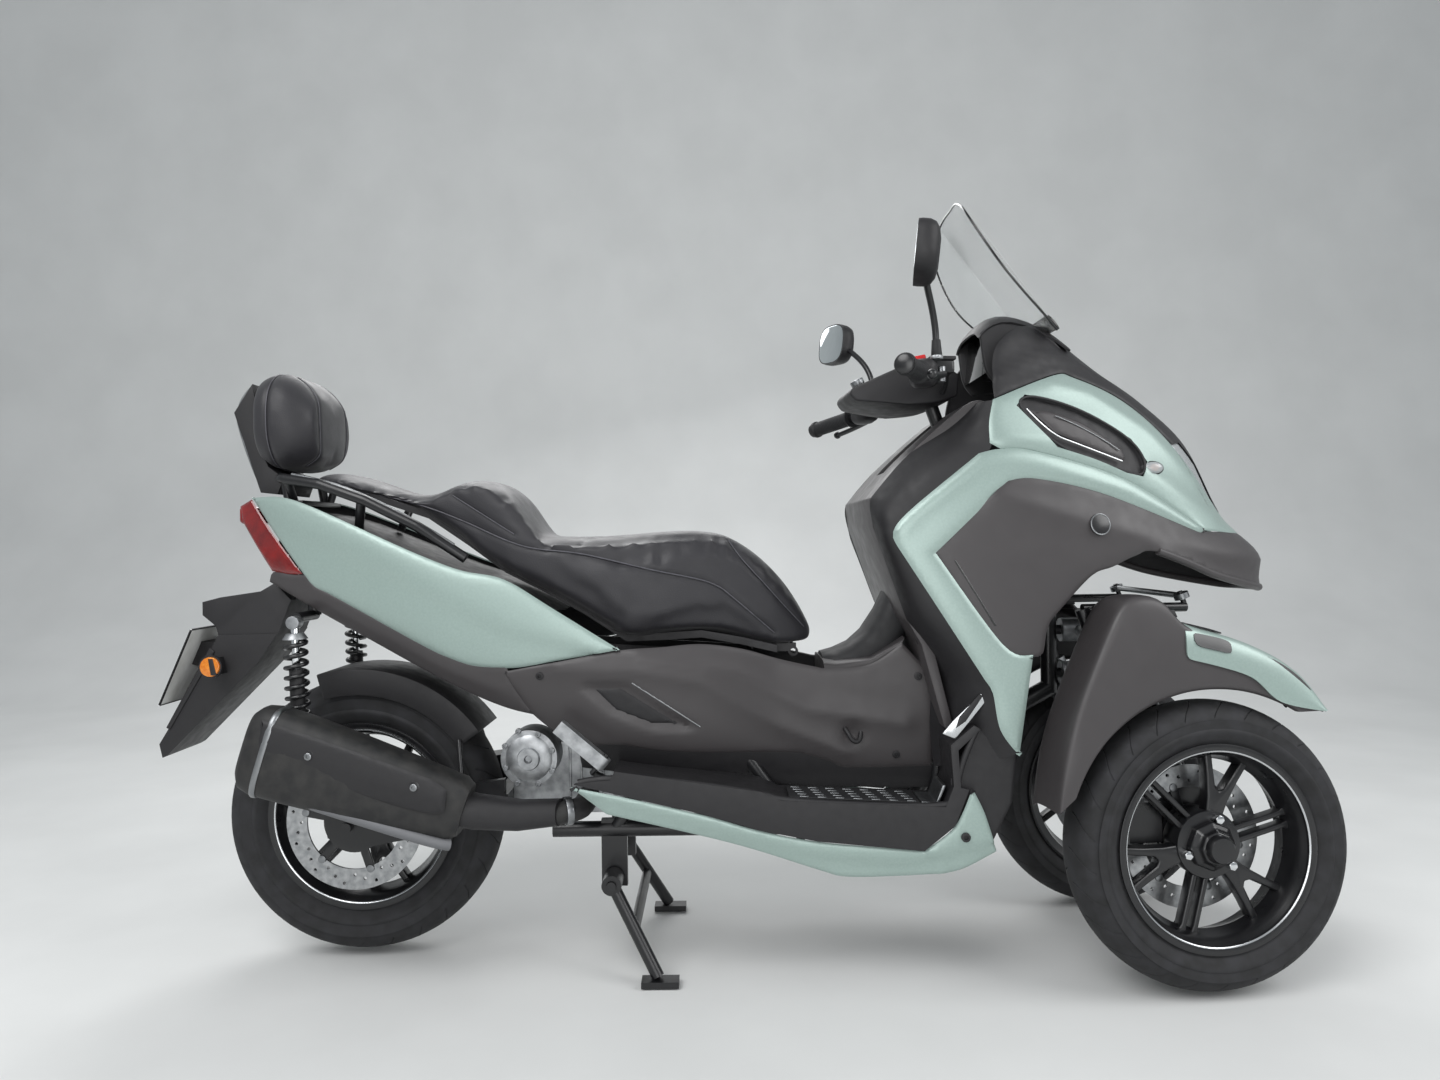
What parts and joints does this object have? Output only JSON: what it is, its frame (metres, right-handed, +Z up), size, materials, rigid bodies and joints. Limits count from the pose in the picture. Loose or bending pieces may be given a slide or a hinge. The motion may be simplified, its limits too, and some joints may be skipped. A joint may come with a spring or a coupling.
{
  "type": "three-wheel motor scooter",
  "caption": "Leaning motor scooter with paired steered front wheels on fork legs, driven rear wheel, step-through body, hinged seat, backrest, windscreen and stands.",
  "frame": {"origin": "on the floor, at the middle of the overall length and width", "axes": "+X forward, +Y to the left, +Z up"},
  "size_m": [2.2569, 0.812, 1.5028],
  "materials": {
    "frame_black": "satin black",
    "cast_alloy": "cast",
    "mint": "matte mint",
    "grey_plastic": "dark grey moulded",
    "black_plastic": "black moulded",
    "rubber": "matte",
    "tyre": "matte",
    "seat_cover": "grained",
    "red_lens": "gloss",
    "clear_lens": "clear",
    "plate_white": "blank",
    "rim_black": "satin black"
  },
  "bodies": {
    "chassis": {"main_frame": "frame_black", "engine_block": "cast_alloy", "swing_arm": "cast_alloy", "rear_shocks": "frame_black", "rear_mudguard": "black_plastic", "muffler": "frame_black", "tail_covers": "mint", "tail_under_covers": "grey_plastic", "tail_light": "red_lens", "plate_holder": "black_plastic", "number_plate": "plate_white", "grab_rail": "frame_black", "backrest_frame": "frame_black", "backrest_pad": "seat_cover", "storage_box": "black_plastic", "side_covers": "grey_plastic", "footboards": "black_plastic", "lower_skirts": "mint", "inner_shield": "black_plastic", "shield_trims": "mint", "front_fairing": "grey_plastic", "nose_cowl": "mint", "side_vents": "black_plastic", "headlights": "clear_lens", "screen_cowl": "black_plastic", "meter_hood": "black_plastic", "windscreen": "clear_lens", "radiator_cover": "black_plastic", "front_link_arms": "cast_alloy"},
    "handlebar": {"handlebar": "frame_black", "handlebar_cover": "black_plastic", "grips": "rubber", "mirrors": "black_plastic"},
    "right_fork": {"right_fork": "frame_black", "right_front_mudguard": "grey_plastic"},
    "left_fork": {"left_fork": "frame_black", "left_front_mudguard": "grey_plastic"},
    "tie_rod": {"tie_rod": "cast_alloy"},
    "right_wheel": {"right_front_tyre": "tyre", "right_front_rim": "rim_black"},
    "left_wheel": {"left_front_tyre": "tyre", "left_front_rim": "rim_black"},
    "rear_wheel": {"rear_tyre": "tyre", "rear_rim": "rim_black"},
    "seat": {"seat_base": "black_plastic", "seat_cushion": "seat_cover"},
    "centre_stand": {"centre_stand": "frame_black"},
    "side_stand": {"side_stand": "frame_black"},
    "right_peg": {"right_peg": "cast_alloy"},
    "left_peg": {"left_peg": "cast_alloy"}
  },
  "joints": [
    {"name": "steering", "type": "hinge", "parent": "chassis", "child": "handlebar", "pos_m": [0.46732, 0, 1], "axis": [-0.342, 0, 0.9397], "range_deg": [-36.5, 23.5]},
    {"name": "right_fork_steer", "type": "hinge", "parent": "chassis", "child": "right_fork", "pos_m": [0.71462, -0.158, 0.6], "axis": [-0.342, 0, 0.9397], "range_deg": [-36.5, 23.5]},
    {"name": "right_wheel_spin", "type": "hinge", "parent": "right_fork", "child": "right_wheel", "pos_m": [0.87304, -0.23159, 0.26493], "axis": [-0.1064, 0.9936, -0.0387], "continuous": true},
    {"name": "left_fork_steer", "type": "hinge", "parent": "chassis", "child": "left_fork", "pos_m": [0.71462, 0.158, 0.6], "axis": [-0.342, 0, 0.9397], "range_deg": [-36.5, 23.5]},
    {"name": "left_wheel_spin", "type": "hinge", "parent": "left_fork", "child": "left_wheel", "pos_m": [0.85665, 0.23742, 0.25896], "axis": [-0.1064, 0.9936, -0.0387], "continuous": true},
    {"name": "tie_rod_pivot", "type": "hinge", "parent": "right_fork", "child": "tie_rod", "pos_m": [0.88882, -0.13586, 0.68957], "axis": [-0.342, 0, 0.9397], "range_deg": [-23.5, 36.5]},
    {"name": "rear_wheel_spin", "type": "hinge", "parent": "chassis", "child": "rear_wheel", "pos_m": [-0.73, 0, 0.284], "axis": [0, 1, 0], "continuous": true},
    {"name": "seat_hinge", "type": "hinge", "parent": "chassis", "child": "seat", "pos_m": [0.138, 0, 0.606], "axis": [0, 1, 0], "range_deg": [0, 50]},
    {"name": "centre_stand_pivot", "type": "hinge", "parent": "chassis", "child": "centre_stand", "pos_m": [-0.219, 0, 0.175], "axis": [0, 1, 0], "range_deg": [0, 95]},
    {"name": "side_stand_pivot", "type": "hinge", "parent": "chassis", "child": "side_stand", "pos_m": [-0.02, 0.216, 0.212], "axis": [0, -1, 0], "range_deg": [0, 90]},
    {"name": "right_peg_pivot", "type": "hinge", "parent": "chassis", "child": "right_peg", "pos_m": [-0.229, -0.214, 0.422], "axis": [0.65, 0, 0.76], "range_deg": [0, 90]},
    {"name": "left_peg_pivot", "type": "hinge", "parent": "chassis", "child": "left_peg", "pos_m": [-0.229, 0.214, 0.422], "axis": [-0.65, 0, -0.76], "range_deg": [0, 90]}
  ],
  "couplings": [
    {"joint": "right_fork_steer", "follows": "steering", "ratio": 1},
    {"joint": "left_fork_steer", "follows": "steering", "ratio": 1},
    {"joint": "tie_rod_pivot", "follows": "steering", "ratio": -1}
  ]
}
